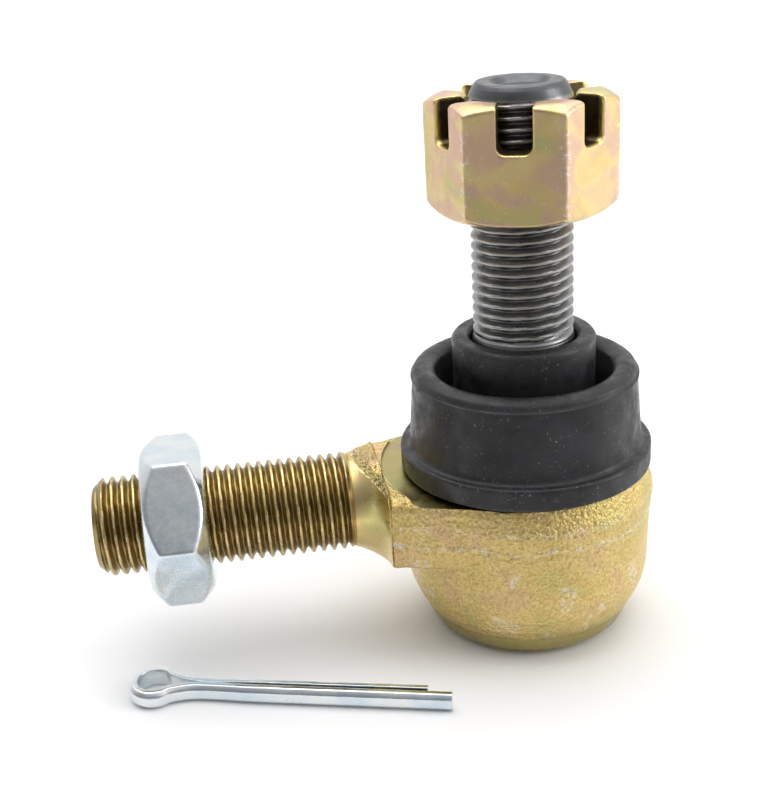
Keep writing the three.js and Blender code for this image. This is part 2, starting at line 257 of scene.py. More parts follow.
def settled(obj):
    """Applies an object's modifiers."""
    bpy.context.view_layer.update()
    mesh = bpy.data.meshes.new_from_object(obj.evaluated_get(bpy.context.evaluated_depsgraph_get()))
    obj.modifiers.clear()
    old = obj.data
    obj.data = mesh
    bpy.data.meshes.remove(old)
    return obj


TO_MILLIMETRES = Matrix.Scale(1 / MM, 4)
TO_METRES = Matrix.Scale(MM, 4)


def cut(obj, cutter):
    """Takes the cutter away from an object."""
    obj.data.transform(TO_MILLIMETRES)
    cutter.data.transform(TO_MILLIMETRES)
    modifier = obj.modifiers.new("cut", "BOOLEAN")
    modifier.operation = "DIFFERENCE"
    modifier.solver = "EXACT"
    modifier.object = cutter
    settled(obj)
    obj.data.transform(TO_METRES)
    bpy.data.objects.remove(cutter)


def soften(obj, material, voxel=0.18, passes=5):
    """Rebuilds an object from small cubes and relaxes it, which rounds all its edges a little."""
    obj.data.transform(TO_MILLIMETRES)
    remesh = obj.modifiers.new("remesh", "REMESH")
    remesh.mode = "VOXEL"
    remesh.voxel_size = voxel
    relax = obj.modifiers.new("relax", "SMOOTH")
    relax.factor = 0.5
    relax.iterations = passes
    settled(obj)
    obj.data.transform(TO_METRES)
    obj.data.materials.clear()
    obj.data.materials.append(material)
    obj.data.shade_smooth()


# ---------------------------------------------------------------- materials

def set_ramp(node, stops):
    """Gives a colour ramp its (position, colour) stops."""
    elements = node.color_ramp.elements
    while len(elements) < len(stops):
        elements.new(0.5)
    for element, (position, colour) in zip(elements, stops):
        element.position = position
        element.color = (*colour, 1)


class Finish:
    """A material with one Principled shader, and short calls for its texture nodes."""

    def __init__(self, name, metallic, roughness, specular=0.5):
        self.material = bpy.data.materials.new(name)
        self.material.use_nodes = True
        self.nodes = self.material.node_tree.nodes
        self.links = self.material.node_tree.links
        self.shader = self.nodes["Principled BSDF"]
        self.shader.inputs["Metallic"].default_value = metallic
        self.shader.inputs["Roughness"].default_value = roughness
        self.shader.inputs["Specular IOR Level"].default_value = specular
        self.place = self.nodes.new("ShaderNodeTexCoord").outputs["Object"]

    def put(self, socket, value):
        if hasattr(value, "is_output"):
            self.links.new(value, socket)
        else:
            socket.default_value = value

    def noise(self, size, detail=3.0, roughness=0.55, distortion=0.0, stretch=None, seed=0.0):
        place = self.nodes.new("ShaderNodeMapping")
        self.links.new(self.place, place.inputs["Vector"])
        place.inputs["Location"].default_value = (seed, seed * 0.7, seed * 1.3)
        if stretch:
            place.inputs["Scale"].default_value = stretch
        node = self.nodes.new("ShaderNodeTexNoise")
        self.links.new(place.outputs[0], node.inputs["Vector"])
        node.inputs["Scale"].default_value = 1 / (size * MM)
        node.inputs["Detail"].default_value = detail
        node.inputs["Roughness"].default_value = roughness
        node.inputs["Distortion"].default_value = distortion
        return node.outputs["Fac"]

    def ramp(self, value, *stops):
        node = self.nodes.new("ShaderNodeValToRGB")
        self.links.new(value, node.inputs["Fac"])
        set_ramp(node, stops)
        return node.outputs["Color"]

    def steps(self, value, low_edge, high_edge, low_value=0.0, high_value=1.0):
        node = self.nodes.new("ShaderNodeMapRange")
        node.interpolation_type = "SMOOTHSTEP"
        self.links.new(value, node.inputs["Value"])
        for key, number in (("From Min", low_edge), ("From Max", high_edge),
                            ("To Min", low_value), ("To Max", high_value)):
            node.inputs[key].default_value = number
        return node.outputs["Result"]

    def math(self, operation, a, b=0.0):
        node = self.nodes.new("ShaderNodeMath")
        node.operation = operation
        self.put(node.inputs[0], a)
        self.put(node.inputs[1], b)
        return node.outputs[0]

    def mix(self, factor, a, b, kind="MIX"):
        node = self.nodes.new("ShaderNodeMix")
        node.data_type = "RGBA"
        node.blend_type = kind
        self.put(node.inputs["Factor"], factor)
        for socket, value in ((node.inputs[6], a), (node.inputs[7], b)):
            self.put(socket, (*value, 1) if isinstance(value, tuple) else value)
        return node.outputs[2]

    def attribute(self, name):
        node = self.nodes.new("ShaderNodeAttribute")
        node.attribute_name = name
        return node.outputs["Fac"]

    def vector_math(self, operation, a, b=None):
        node = self.nodes.new("ShaderNodeVectorMath")
        node.operation = operation
        self.put(node.inputs[0], a)
        if b is not None:
            self.put(node.inputs[1], b)
        return node.outputs["Value" if operation == "LENGTH" else "Vector"]

    def axis_distance(self, axis, centre):
        """Distance in mm from an axis through a point given in mm."""
        shifted = self.vector_math("SUBTRACT", self.place, [c * MM for c in centre])
        across = self.vector_math("MULTIPLY", shifted, [0 if k == axis else 1 / MM for k in range(3)])
        return self.vector_math("LENGTH", across)

    def along(self, axis):
        """Distance in mm along one axis of the row's frame."""
        node = self.nodes.new("ShaderNodeSeparateXYZ")
        self.links.new(self.place, node.inputs[0])
        return self.math("MULTIPLY", node.outputs[axis], 1 / MM)

    def bump(self, height, depth, strength=1.0, under=None):
        node = self.nodes.new("ShaderNodeBump")
        node.inputs["Strength"].default_value = strength
        node.inputs["Distance"].default_value = depth * MM
        self.links.new(height, node.inputs["Height"])
        if under is not None:
            self.links.new(under, node.inputs["Normal"])
        return node.outputs["Normal"]

    def finish(self, colour=None, roughness=None, normal=None):
        for key, value in (("Base Color", colour), ("Roughness", roughness), ("Normal", normal)):
            if value is not None:
                self.links.new(value, self.shader.inputs[key])
        return self.material


def chromate_colour(f, seed, mottle=0.5):
    """Yellow zinc chromate: gold that drifts to pink and green in soft patches."""
    gold = (0.80, 0.60, 0.22)
    straw = (0.84, 0.67, 0.30)
    pink = (0.80, 0.52, 0.34)
    green = (0.58, 0.58, 0.21)
    drift = f.noise(6.5, 1.0, 0.4, 0.5, seed=seed)
    base = f.ramp(drift, (0.34, green), (0.45, gold), (0.54, straw), (0.65, pink))
    fine = f.noise(1.4, 3.0, 0.6, seed=seed + 0.3)
    return f.mix(f.steps(fine, 0.35, 0.75, 0.0, mottle), base, gold)


def forging_finish():
    """A shot-blasted forging under the plating: glittering pebbles with painted shade in their hollows,
    scuffed bright in places.
    """
    f = Finish("gold_forging", 1.0, 0.4)
    colour = f.mix(0.4, chromate_colour(f, 0.01), (0.80, 0.62, 0.27))
    grain = f.noise(0.22, 2.0, 0.55, seed=0.2)
    pebbles = f.noise(0.42, 2.0, 0.55, seed=0.4)
    # Painted shade: the hollows of the pebbles and of the fine grain, which the bumps below also use, are
    # painted darker.
    shaded = f.mix(f.steps(pebbles, 0.32, 0.60, 0.50, 0.0), colour, (0.44, 0.30, 0.09))
    painted_grain_shade = f.mix(f.steps(grain, 0.32, 0.60, 0.35, 0.0), shaded, (0.38, 0.26, 0.08))
    worn = f.math("MULTIPLY", f.attribute("wear"), f.steps(f.noise(0.6, 4.0, 0.7, seed=0.6), 0.46, 0.60))
    final = f.mix(worn, painted_grain_shade, (0.90, 0.86, 0.84))
    roughness = f.steps(pebbles, 0.3, 0.7, 0.30, 0.44)
    relief = f.bump(pebbles, 0.21, 1.0, f.bump(grain, 0.10, 1.0))
    return f.finish(final, roughness, relief)


def machined_finish():
    """Turned faces of the housing under the same plating: smoother, with fine rings."""
    f = Finish("gold_machined", 1.0, 0.28)
    colour = chromate_colour(f, 0.05)
    rings = f.noise(0.5, 3.0, 0.7, stretch=(0.06, 0.06, 3.0), seed=0.1)
    deepened = f.mix(0.7, colour, (0.30, 0.28, 0.11))
    roughness = f.steps(f.noise(2.5, 3.0, seed=0.8), 0.3, 0.7, 0.2, 0.36)
    return f.finish(deepened, roughness, f.bump(rings, 0.01, 0.5))


def shank_finish():
    """The threaded shank and its turned neck: brassy flanks with painted shade towards the roots, bright
    crests and tool rings.
    """
    f = Finish("gold_thread", 1.0, 0.26)
    centre = (0, 0, SHANK_Z)
    colour = f.mix(0.5, chromate_colour(f, 0.09), (0.62, 0.50, 0.24))
    distance = f.axis_distance(0, centre)
    on_thread = f.steps(f.along(0), -22.6, -21.8, 1.0, 0.0)
    # Painted shade: the thread is painted darker from its crests down into its roots.
    painted_groove_shade = f.math("MULTIPLY", on_thread, f.steps(distance, 5.80, 5.905, 0.85, 0.30))
    flanks = f.mix(painted_groove_shade, colour, (0.27, 0.195, 0.075))
    crest = f.math("MULTIPLY", on_thread, f.steps(distance, 5.87, 5.93, 0.0, 0.5))
    patches = f.steps(f.noise(0.5, 4.0, 0.6, seed=0.5), 0.46, 0.60)
    worn = f.mix(f.math("MULTIPLY", crest, patches), flanks, (0.92, 0.84, 0.66))
    rings = f.noise(0.22, 2.0, 0.6, stretch=(1.0, 0.03, 0.03), seed=0.3)
    shallow = f.math("MULTIPLY", rings, f.steps(f.along(0), -22.6, -21.8, 0.2, 1.0))
    roughness = f.steps(f.noise(1.6, 3.0, seed=0.2), 0.3, 0.7, 0.24, 0.38)
    return f.finish(worn, roughness, f.bump(shallow, 0.022, 0.8))


def castle_finish():
    """Smooth plating with pink patches, scuffed corners and nicks, painted shade down the slots and a painted
    highlight on their rims.
    """
    f = Finish("gold_nut", 1.0, 0.3)
    colour = f.mix(0.15, chromate_colour(f, 0.13, mottle=0.2), (0.74, 0.58, 0.44))
    blush = f.steps(f.noise(5.0, 2.0, 0.5, 0.6, seed=0.55), 0.46, 0.62, 0.0, 0.7)
    colour = f.mix(blush, colour, (0.72, 0.47, 0.38))
    distance = f.axis_distance(2, (0, 0, 0))
    patches = f.steps(f.noise(0.7, 4.0, 0.7, seed=0.9), 0.50, 0.62)
    corners = f.math("MULTIPLY", f.steps(distance, 10.5, 10.8, 0.0, 0.6), patches)
    worn = f.mix(corners, colour, (0.93, 0.90, 0.84))
    specks = f.noise(0.22, 2.0, 0.5, seed=0.3)
    nicks = f.steps(f.noise(0.40, 4.0, 0.7, seed=0.35), 0.60, 0.70, 0.0, 0.6)
    nicked = f.mix(nicks, worn, (0.95, 0.93, 0.88))
    # Painted light from the slot depth: a painted highlight along each slot's rim and painted shade down its
    # walls.
    in_slot = f.attribute("wear")
    rim = f.math("MULTIPLY", f.steps(in_slot, 0.04, 0.16), f.steps(in_slot, 0.35, 0.7, 1.0, 0.0))
    with_painted_rim_highlight = f.mix(rim, nicked, (0.95, 0.80, 0.25))
    with_painted_slot_shade = f.mix(f.steps(in_slot, 0.35, 0.85, 0.0, 0.93), with_painted_rim_highlight, (0.10, 0.075, 0.03))
    streaks = f.noise(1.1, 4.0, 0.6, seed=0.7)
    roughness = f.math("ADD", f.steps(streaks, 0.3, 0.7, 0.26, 0.38), f.steps(specks, 0.3, 0.7, 0.0, 0.08))
    dings = f.noise(1.6, 4.0, 0.6, seed=0.6)
    relief = f.bump(dings, 0.12, 0.7, f.bump(specks, 0.022, 0.9))
    return f.finish(with_painted_slot_shade, roughness, relief)


def stud_finish():
    """Dark hardened steel, with painted shade in the rolled thread's roots, a painted highlight on its crests
    and a darker end.
    """
    f = Finish("stud_steel", 1.0, 0.34)
    base = f.ramp(f.noise(3.0, 4.0, 0.6, seed=0.2), (0.3, (0.24, 0.24, 0.245)), (0.7, (0.34, 0.335, 0.33)))
    distance = f.axis_distance(2, (0, 0, 0))
    height = f.along(2)
    above_boot = f.steps(height, COLLAR_TOP, COLLAR_TOP + 1.2)
    thread = f.math("MULTIPLY", above_boot, f.steps(height, 65.0, 65.3, 1.0, 0.0))
    # Painted shade in the thread's roots.
    painted_root_shade = f.math("MULTIPLY", thread, f.steps(distance, 5.2, 5.5, 0.45, 0.0))
    dark = f.mix(painted_root_shade, base, (0.07, 0.066, 0.06))
    # Painted highlight: every crest of the thread is painted paler.
    crest = f.math("MULTIPLY", thread, f.steps(distance, 5.82, 5.92, 0.0, 0.6))
    bright = f.mix(crest, dark, (0.55, 0.53, 0.50))
    capped = f.mix(f.steps(height, 65.0, 65.4, 0.0, 0.8), bright, (0.090, 0.094, 0.102))
    rings = f.noise(0.3, 2.0, 0.6, stretch=(0.03, 0.03, 1.0), seed=0.4)
    roughness = f.steps(f.noise(1.0, 3.0, seed=0.9), 0.3, 0.7, 0.26, 0.42)
    return f.finish(capped, roughness, f.bump(rings, 0.012, 0.6))


def zinc_finish(name, seed, axis_stretch=None):
    """Bright zinc with a cold blue tint."""
    f = Finish(name, 1.0, 0.2)
    tint = f.ramp(
        f.noise(4.5, 3.0, 0.5, 0.4, seed=seed),
        (0.30, (0.62, 0.71, 0.78)), (0.5, (0.73, 0.79, 0.83)), (0.68, (0.81, 0.83, 0.82)),
    )
    streaks = f.noise(0.5, 4.0, 0.65, stretch=axis_stretch, seed=seed + 0.2)
    roughness = f.steps(streaks, 0.3, 0.7, 0.14, 0.3)
    relief = f.bump(f.noise(1.6, 3.0, 0.5, seed=seed + 0.4), 0.04, 0.3, f.bump(streaks, 0.006, 0.5))
    return f.finish(tint, roughness, relief)


def boot_finish():
    """Moulded black rubber with a dry bloom, pale dust specks and scuffs."""
    f = Finish("boot_rubber", 0.0, 0.5, 0.42)
    base = f.ramp(
        f.noise(6.0, 4.0, 0.6, seed=0.3),
        (0.3, (0.010, 0.010, 0.012)), (0.7, (0.030, 0.031, 0.034)),
    )
    dust = f.steps(f.noise(0.26, 2.0, 0.5, seed=0.8), 0.66, 0.73)
    sparse = f.steps(f.noise(3.5, 3.0, 0.6, seed=0.6), 0.40, 0.62)
    specks = f.math("MULTIPLY", dust, sparse)
    speckled = f.mix(f.math("MULTIPLY", specks, 0.75), base, (0.30, 0.29, 0.28))
    height = f.along(2)
    foot = f.steps(height, SEAT_Z + 3.0, SEAT_Z + 4.6, 1.0, 0.0)
    scuff = f.steps(f.noise(0.8, 5.0, 0.75, stretch=(1, 1, 3), seed=0.5), 0.60, 0.72)
    dusty = f.mix(f.math("MULTIPLY", f.math("MULTIPLY", foot, scuff), 0.35), speckled, (0.22, 0.21, 0.20))
    roughness = f.steps(f.noise(2.0, 4.0, 0.6, seed=0.1), 0.3, 0.7, 0.26, 0.56)
    relief = f.bump(f.noise(0.22, 3.0, 0.6, seed=0.2), 0.026, 0.9)
    return f.finish(dusty, roughness, relief)


def plain_finish(name, metallic, dark, light, rough, seed):
    """A quiet finish for pieces inside the joint: two tones, uneven gloss and a fine grain."""
    f = Finish(name, metallic, rough)
    colour = f.ramp(f.noise(2.4, 4.0, 0.6, seed=seed), (0.3, dark), (0.7, light))
    roughness = f.steps(f.noise(1.0, 3.0, seed=seed + 0.3), 0.3, 0.7, rough - 0.08, rough + 0.08)
    return f.finish(colour, roughness, f.bump(f.noise(0.2, 2.0, seed=seed + 0.6), 0.006, 0.5))


FORGING = forging_finish()
MACHINED = machined_finish()
GOLD_THREAD = shank_finish()
GOLD_NUT = castle_finish()
STUD_STEEL = stud_finish()
JAM_ZINC = zinc_finish("blue_zinc_nut", 0.3)
PIN_ZINC = zinc_finish("blue_zinc_wire", 0.7, (0.15, 0.6, 1.0))
RUBBER = boot_finish()
ACETAL = plain_finish("bearing_plastic", 0.0, (0.74, 0.72, 0.65), (0.84, 0.82, 0.76), 0.42, 0.2)
SPRING_STEEL = plain_finish("spring_steel", 1.0, (0.20, 0.21, 0.22), (0.36, 0.37, 0.39), 0.36, 0.5)
SEAL_RUBBER = plain_finish("seal_rubber", 0.0, (0.010, 0.010, 0.011), (0.02, 0.02, 0.022), 0.45, 0.7)
COVER_STEEL = plain_finish("cover_steel", 1.0, (0.48, 0.38, 0.17), (0.68, 0.58, 0.32), 0.32, 0.9)


def install(obj, body, node):
    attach(obj, body)
    if node:
        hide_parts(node)
    return obj


# ---------------------------------------------------------------- threads

def thread_drop(phase):
    """Depth of a rolled thread below its crest, for a phase of 0 at the crest's middle."""
    away = np.abs(((phase + 0.5) % 1.0) - 0.5) * 2
    flank = np.clip((away - 0.18) / (0.88 - 0.18), 0, 1)
    soft = smoothstep(0.0, 1.0, flank)
    seam = CREST_SEAM * np.exp(-((away / 0.07) ** 2))
    return THREAD_DEPTH * (0.6 * flank + 0.4 * soft) + seam


def threaded_rows(start, end, columns, limit, start_fade=1.2, end_fade=0.0):
    """Radii of a helical thread on rows from start to end, cut back by limit(height)."""
    count = round((end - start) / (PITCH / 12))
    heights = np.linspace(start, end, count + 1)
    angle = np.arange(columns) / columns
    phase = heights[:, None] / PITCH - angle[None, :]
    fade = smoothstep(0, start_fade, heights - start)
    if end_fade:
        fade = fade * smoothstep(0, end_fade, end - heights)
    radii = THREAD_RADIUS - thread_drop(phase) * fade[:, None]
    return heights, np.minimum(radii, limit(heights)[:, None])


def rows_to_grid(heights, radii):
    columns = radii.shape[1]
    angles = np.arange(columns) * TAU / columns
    z = np.broadcast_to(heights[:, None], radii.shape)
    return np.stack([radii * np.cos(angles), radii * np.sin(angles), z], -1)


def plain_rows(points, columns):
    points = np.asarray(points, float)
    return points[:, 1], np.repeat(points[:, 0][:, None], columns, 1)


# ---------------------------------------------------------------- housing

WEB_END = 18.1
WEB_HALF = 9.2
WEB_LOW = 12.6
WEB_ROOT = 14.6  # the web's sides run out tangent to this circle
WEB_CORNER = math.atan2(WEB_HALF, WEB_END)
WEB_TOUCH = WEB_CORNER + math.acos(WEB_ROOT / math.hypot(WEB_END, WEB_HALF))
LAND_Z = 21.3  # the rough top of the web
LAND_EDGE = 1.5  # rounding along its sides
NECK_RISE = 0.65  # how steeply it climbs from the spotface to the neck
NECK_RADIUS = 5.6
FLARE_RADIUS = 4.9
FLASH_Z = 15.7  # the parting line of the forging dies


def barrel_radius(z):
    heights = [2.4, 3.2, 4.4, 6.2, 8.0, 12.0, 15.6, 17.6, 18.4, 19.6, SEAT_Z]
    radii = [12.9, 13.2, 13.95, 14.65, 15.0, 15.15, 15.25, 15.45, 15.35, 14.95, 14.45]
    return np.interp(z, heights, radii)


def away_from_web(theta):
    """Angle round the housing from the web's middle, which is at -X."""
    return np.abs((theta % TAU) - math.pi)


def web_plan(theta):
    """Distance from the housing's axis to the web's end or side, and 0 where it has none."""
    away = away_from_web(theta)
    end_face = WEB_END / np.maximum(np.cos(away), 0.05)
    flank = WEB_ROOT / np.maximum(np.cos(away - WEB_TOUCH), 0.05)
    return np.where(away < WEB_TOUCH, smooth_min(end_face, flank, 0.25), 0.0)


def die_draft(z):
    return 0.12 * np.clip(FLASH_Z - z, 0, None)


def land_height(x, depth):
    """Height of the forging's rough top, at a depth in from its side."""
    within = np.clip(depth, 0, LAND_EDGE)
    rounding = np.sqrt(LAND_EDGE**2 - (LAND_EDGE - within) ** 2) - LAND_EDGE
    return LAND_Z + rounding + NECK_RISE * np.clip(-SPOTFACE_RADIUS - x, 0, None)


def web_depth(x, y):
    """How far a point is inside the web's nearest side, seen from above."""
    flank = WEB_ROOT - (-x * math.cos(WEB_TOUCH) + np.abs(y) * math.sin(WEB_TOUCH))
    return np.minimum(WEB_HALF - np.abs(y), flank)


def web_radius(theta, z):
    """Distance from the housing's axis to the web's side, with rounded edges above and below."""
    on_flank = smoothstep(WEB_CORNER - 0.03, WEB_CORNER + 0.03, away_from_web(theta))
    above = np.clip(z - (LAND_Z - LAND_EDGE), 0, LAND_EDGE)
    top_inset = LAND_EDGE - np.sqrt(LAND_EDGE**2 - above**2)
    lower_edge = 0.7
    under = np.clip(WEB_LOW + lower_edge - z, 0, lower_edge)
    low_inset = lower_edge - np.sqrt(lower_edge**2 - under**2)
    below = 4.0 * np.clip(WEB_LOW - z, 0, None)
    return web_plan(theta) - on_flank * (top_inset + low_inset + die_draft(z)) - below


def side_radius(theta, z):
    return smooth_max(barrel_radius(z), web_radius(theta, z), 0.8)


def forging_grid():
    """Radii and heights of the housing's closed outline, a column for each angle round +Z."""
    columns = 800
    theta = np.arange(columns) * TAU / columns
    plan = web_plan(theta)
    end_y = np.abs(plan * np.sin(theta))
    at_end = away_from_web(theta) < WEB_CORNER
    end_top = np.maximum(land_height(-WEB_END, WEB_HALF - end_y), SEAT_Z)
    top = np.where(at_end, end_top, SEAT_Z)

    side_rows = 172
    first = 3.1
    t = np.linspace(0, 1, side_rows)
    z_side = first + t[:, None] * (top[None, :] - first)
    r_side = side_radius(theta[None, :], z_side)
    edge = r_side[-1]
    rim = np.minimum(SPOTFACE_RADIUS, edge)

    def ring(radius, height):
        return np.full(columns, float(radius)), np.full(columns, float(height))

    land = []
    for s in np.linspace(0, 1, 16)[1:]:
        r = edge + (rim - edge) * s
        height = land_height(r * np.cos(theta), web_depth(r * np.cos(theta), r * np.sin(theta)))
        land.append((r, np.where(edge > SPOTFACE_RADIUS, np.maximum(height, SEAT_Z), SEAT_Z)))
    land_end = land[-1][1]
    fillet = 0.22
    wall = [
        (rim - fillet * (1 - math.cos(a)), land_end + (SEAT_Z - land_end) * math.sin(a))
        for a in np.linspace(0, math.pi / 2, 7)[1:]
    ]
    floor_edge = rim - fillet
    seat = np.full(columns, SEAT_Z)
    floor = [(floor_edge + (SEAT_RADIUS - floor_edge) * s, seat) for s in (0.25, 0.5, 0.75, 1.0)]
    inside = rounded([
        (SEAT_RADIUS, SEAT_Z), (SEAT_RADIUS, 22.4, 0.3), (9.8, 22.4, 0.3), (8.0, 18.2, 0.3),
        (BORE_RADIUS, 18.2), (BORE_RADIUS, 1.5), (9.0, 1.5, 0.2), (9.0, 0.0, 0.35), (10.3, 0.0, 0.5),
        (12.2, 0.75, 1.6), (12.95, 2.6, 1.5), (13.05, 3.0),
    ], closed=False)[1:]

    rows = [(r_side[i], z_side[i]) for i in range(side_rows)]
    rows += land + wall + floor
    rows += [ring(r, z) for r, z in inside]
    radii = np.array([r for r, _ in rows])
    heights = np.array([z for _, z in rows])
    machined = len(wall) + len(floor) + len(inside)
    kinds = np.array([0] * side_rows + [1] * len(land) + [2] * machined)
    return theta, radii, heights, kinds, side_rows


def forging_relief(points):
    """Lumps, shot-blast pebbles and the dies' parting line, in mm, at points on the forging."""
    z = points[..., 2]
    flat = points * [1, 1, 0]
    coarse = smoothstep(16.4, 18.4, z)
    relief = noise_at(points, 6.5, 1.0) * 0.14
    relief = relief + (0.022 + 0.060 * coarse) * noise_at(points, 0.55, 2.0, 2)
    relief = relief + (0.016 + 0.018 * coarse) * noise_at(points, 0.32, 3.0)
    line = FLASH_Z + 0.35 * noise_at(flat, 5.0, 4.0) + 0.12 * noise_at(flat, 1.3, 5.0)
    torn = np.clip(0.65 + 0.6 * noise_at(flat, 2.2, 6.0), 0.1, 1)
    offset = z - line
    ridge = 0.13 * np.exp(-((offset / 0.17) ** 2)) - 0.07 * np.exp(-(((offset + 0.42) / 0.3) ** 2))
    return relief + torn * ridge, torn * np.exp(-((offset / 0.30) ** 2))


def housing_forging():
    """The forged body: a rough skin over the barrel and web, cut by turned faces."""
    theta, radii, heights, kinds, side_rows = forging_grid()
    columns = len(theta)
    grid = np.stack([radii * np.cos(theta), radii * np.sin(theta), heights], -1)
    rough = kinds < 2
    skin = grid[rough]
    relief, flash = forging_relief(skin)
    relief = relief * smoothstep(0.0, 0.5, skin[..., 2] - 3.1)

    outward = np.stack([np.cos(theta), np.sin(theta), np.zeros(columns)], -1)
    push = outward[None, :, :] * relief[..., None]
    push[side_rows - 1] *= 0.5
    outside = smoothstep(0.0, 0.5, radii[rough][side_rows:] - SPOTFACE_RADIUS)
    push[side_rows:] = np.array([0, 0, 1]) * (outside * relief[side_rows:])[..., None]
    grid[rough] = skin + push
    least, most = low("housing"), high("housing")
    grid[..., 0] = np.minimum(grid[..., 0], most[0])
    grid[..., 1] = np.clip(grid[..., 1], least[1], most[1])

    shoulder = 0.35 * np.exp(-(((skin[..., 2] - 18.1) / 0.35) ** 2))
    scuffs = 0.5 * smoothstep(0.3, 0.5, noise_at(skin, 3.2, 8.0)) * (skin[..., 2] < 14)
    wear = np.zeros(grid.shape[:2])
    wear[rough] = np.clip(flash + shoulder + scuffs, 0, 1)

    is_machined = (np.repeat(kinds, columns) == 2).astype(int)
    obj = grid_piece("housing_body", grid, [FORGING, MACHINED], sharp=38,
                     face_material=is_machined, wear=wear)
    return install(obj, "housing", "housing")


def forging_reach(x, angle):
    """How far the rough forging reaches from the shank's axis, at each x and angle."""
    reach = np.linspace(4.5, 11.5, 141)
    x = np.broadcast_to(x[:, None, None], (len(x), len(angle), len(reach)))
    y = reach * np.sin(angle)[None, :, None] + 0 * x
    z = SHANK_Z + reach * np.cos(angle)[None, :, None] + 0 * x
    half = WEB_HALF - die_draft(z)
    floor = WEB_LOW - 0.15 * np.clip(-WEB_END - x, 0, 3)
    inside = (np.abs(y) < half) & (z < land_height(x, half - np.abs(y))) & (z > floor)
    return reach[np.argmin(inside, axis=-1)]


def round_shank(x, radii, angle):
    """Points round the shank's axis, from rows of x and radii, and a column for each angle."""
    rows = np.broadcast_to(x, radii.shape)
    return np.stack([rows, radii * np.sin(angle), SHANK_Z + radii * np.cos(angle)], -1)


def housing_shank():
    """The rolled thread and the turned neck, whose flare ends at the forging's rough skin."""
    columns = 288
    end = -SHANK_END
    thread_start = 21.9
    flare_start = WEB_END + FLARE_RADIUS
    angle = np.arange(columns) * TAU / columns

    def end_cone(length):
        return np.minimum(THREAD_RADIUS + 0.1, 4.75 + (end - length) * 0.95)

    flare = [
        (NECK_RADIUS + FLARE_RADIUS * (1 - math.cos(a)), flare_start - FLARE_RADIUS * math.sin(a))
        for a in np.linspace(math.pi / 2, 0, 72)
    ]
    flare = [(r, x) for r, x in flare if x < thread_start - 0.05]
    flare = plain_rows([(9.9, WEB_END - 0.15), *flare], columns)
    rough_limit = forging_reach(-flare[0], angle)
    turned_radii = flare[1]
    skin_radii = np.minimum(rough_limit, 10.45)
    relief, _ = forging_relief(round_shank(-flare[0][:, None], skin_radii, angle))
    skin_radii = skin_radii + 1.3 * relief * smoothstep(0, 0.3, turned_radii - skin_radii + 0.3)
    skin_radii[0] -= 0.15
    is_rough = skin_radii < turned_radii
    radii = np.where(is_rough, skin_radii, turned_radii)
    edge_wear = np.exp(-(((skin_radii - turned_radii) / 0.16) ** 2)) * (turned_radii > NECK_RADIUS + 0.25)

    inner = plain_rows([(2.4, 15.5), (2.4, WEB_END - 0.16)], columns)
    body = threaded_rows(thread_start, end - 0.02, columns, end_cone, start_fade=0.9)
    run_in = NECK_RADIUS + (body[0] - thread_start)[:, None] * 0.6
    in_run_in = body[0][:, None] < thread_start + 0.6
    body = (body[0], np.where(in_run_in, np.minimum(body[1], run_in), body[1]))
    face = plain_rows([(4.55, end), (2.0, end - 0.05)], columns)
    heights = np.concatenate([inner[0], flare[0], body[0], face[0]])
    radii = np.concatenate([inner[1], radii, body[1], face[1]])
    along = np.broadcast_to(heights[:, None], radii.shape)
    surface = np.stack([along, radii * np.sin(angle), radii * np.cos(angle)], -1)
    radii = radii + 0.02 * noise_at(surface, 1.1, 11.0) * (along > thread_start)

    start_tip = np.array([-15.5, 0, SHANK_Z])
    end_tip = np.array([SHANK_END + 0.05, 0, SHANK_Z])
    points, faces = capped_grid(round_shank(-along, radii, angle), start_tip, end_tip)
    first = len(inner[0])
    on_flare = slice(first * columns, (first + len(flare[0])) * columns)
    wear = np.zeros(len(points))
    wear[on_flare] = edge_wear.ravel()
    rough_quads = np.zeros(len(faces), int)
    rough_quads[on_flare] = is_rough.ravel()
    obj = make_piece("housing_shank", points, faces, [GOLD_THREAD, FORGING], sharp=40,
                     face_material=rough_quads, wear=wear)
    return install(obj, "housing", "housing")


# ---------------------------------------------------------------- inside the housing

def box_ring(inner, outer, bottom, top, corner):
    """Section of a flat ring whose four edges are rounded."""
    return [(inner, bottom, corner), (outer, bottom, corner), (outer, top, corner), (inner, top, corner)]


def socket_arc(first, last, count):
    """Points on the seats' hollow, between two angles in degrees above the ball's middle."""
    return [
        (SOCKET_RADIUS * math.cos(a), BALL_Z + SOCKET_RADIUS * math.sin(a))
        for a in np.radians(np.linspace(first, last, count))
    ]


